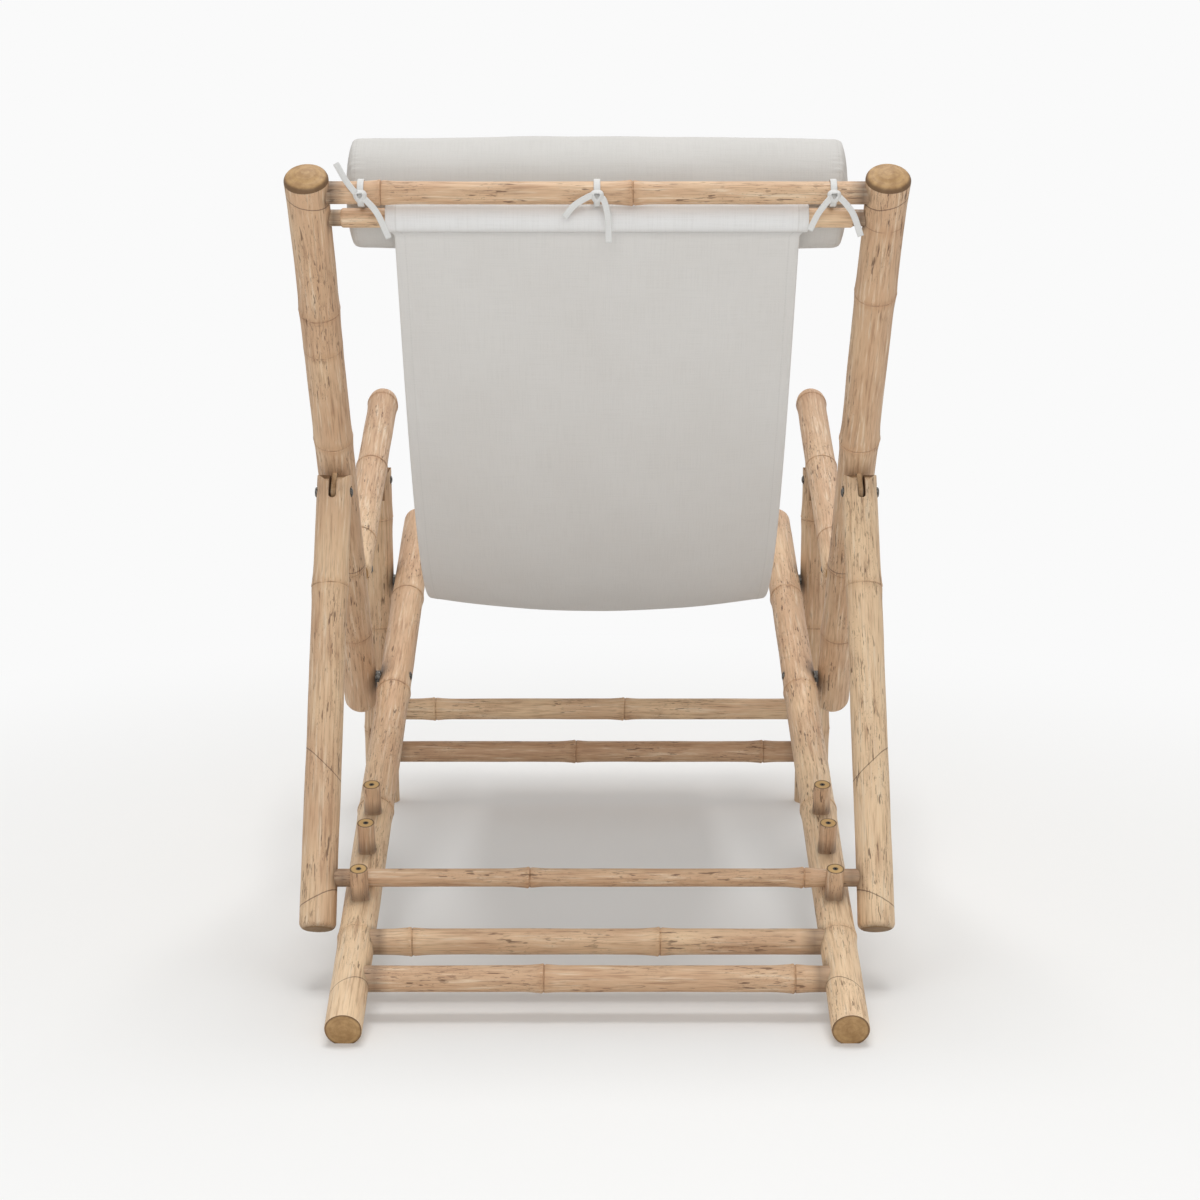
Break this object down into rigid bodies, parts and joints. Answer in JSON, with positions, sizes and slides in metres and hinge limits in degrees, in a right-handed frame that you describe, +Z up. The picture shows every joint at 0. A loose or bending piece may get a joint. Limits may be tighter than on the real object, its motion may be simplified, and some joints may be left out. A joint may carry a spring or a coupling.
{
  "type": "folding recliner chair",
  "caption": "Folding bamboo recliner with a hanging canvas seat, a tied head bolster, armrests and a propping frame that rests against pegs on the rails.",
  "frame": {"origin": "on the floor, in the middle of the chair", "axes": "+Z up, the sitter faces -Y, +X is the sitter's left"},
  "size_m": [0.66, 1.1479, 0.9156],
  "materials": {
    "bamboo": "waxed natural bamboo cane",
    "peg_bamboo": "bamboo peg with open end grain",
    "tongue_wood": "plain sawn wood",
    "canvas": "undyed cotton canvas",
    "bolster_canvas": "undyed cotton canvas, stuffed",
    "cotton_tape": "woven cotton tape",
    "steel": "dull zinc"
  },
  "bodies": {
    "seat_frame": {"back_pivot_bolts": "steel", "back_pivot_nuts": "steel", "back_pivot_washers": "steel", "front_rail_bar": "bamboo", "leg_pivot_bolts": "steel", "leg_pivot_nuts": "steel", "leg_pivot_washers": "steel", "peg_left_1": "peg_bamboo", "peg_left_2": "peg_bamboo", "peg_left_3": "peg_bamboo", "peg_right_1": "peg_bamboo", "peg_right_2": "peg_bamboo", "peg_right_3": "peg_bamboo", "rail_left": "bamboo", "rail_right": "bamboo", "rear_rail_bar_high": "bamboo", "rear_rail_bar_low": "bamboo", "sling": "canvas", "sling_front_bar": "bamboo"},
    "back_frame": {"arm_rear_bolts": "steel", "arm_rear_nuts": "steel", "arm_tongue_left": "tongue_wood", "arm_tongue_right": "tongue_wood", "back_pole_left": "bamboo", "back_pole_right": "bamboo", "head_bar": "bamboo", "head_bolster": "bolster_canvas", "sling_head_bar": "bamboo", "strut_bolts": "steel", "strut_nuts": "steel", "strut_tongue_left": "tongue_wood", "strut_tongue_right": "tongue_wood", "tie_left": "cotton_tape", "tie_middle": "cotton_tape", "tie_right": "cotton_tape"},
    "strut_frame": {"strut_bar": "bamboo", "strut_left": "bamboo", "strut_right": "bamboo"},
    "leg_frame": {"arm_front_bolts": "steel", "arm_front_nuts": "steel", "leg_bar_high": "bamboo", "leg_bar_low": "bamboo", "leg_left": "bamboo", "leg_right": "bamboo"},
    "armrest_left": {"arm_front_tongue_left": "tongue_wood", "armrest_left": "bamboo"},
    "armrest_right": {"arm_front_tongue_right": "tongue_wood", "armrest_right": "bamboo"}
  },
  "joints": [
    {"name": "back_fold", "type": "hinge", "parent": "seat_frame", "child": "back_frame", "pos_m": [0, -0.11807, 0.24418], "axis": [1, 0, 0], "range_deg": [0, 62], "deforming": ["sling"]},
    {"name": "leg_fold", "type": "hinge", "parent": "seat_frame", "child": "leg_frame", "pos_m": [0, -0.39697, 0.32428], "axis": [1, 0, 0], "range_deg": [0, 62]},
    {"name": "armrest_left_turn", "type": "hinge", "parent": "back_frame", "child": "armrest_left", "pos_m": [0, -0.10638, 0.38639], "axis": [1, 0, 0], "range_deg": [-62, 0]},
    {"name": "armrest_right_turn", "type": "hinge", "parent": "back_frame", "child": "armrest_right", "pos_m": [0, -0.10638, 0.38639], "axis": [1, 0, 0], "range_deg": [-62, 0]},
    {"name": "strut_swing", "type": "hinge", "parent": "back_frame", "child": "strut_frame", "pos_m": [0, 0.1396, 0.51599], "axis": [1, 0, 0], "range_deg": [-51, 0]}
  ],
  "couplings": [
    {"joint": "leg_fold", "follows": "back_fold", "ratio": 1},
    {"joint": "armrest_left_turn", "follows": "back_fold", "ratio": -1},
    {"joint": "armrest_right_turn", "follows": "back_fold", "ratio": -1},
    {"joint": "strut_swing", "follows": "back_fold", "ratio": -0.82}
  ]
}
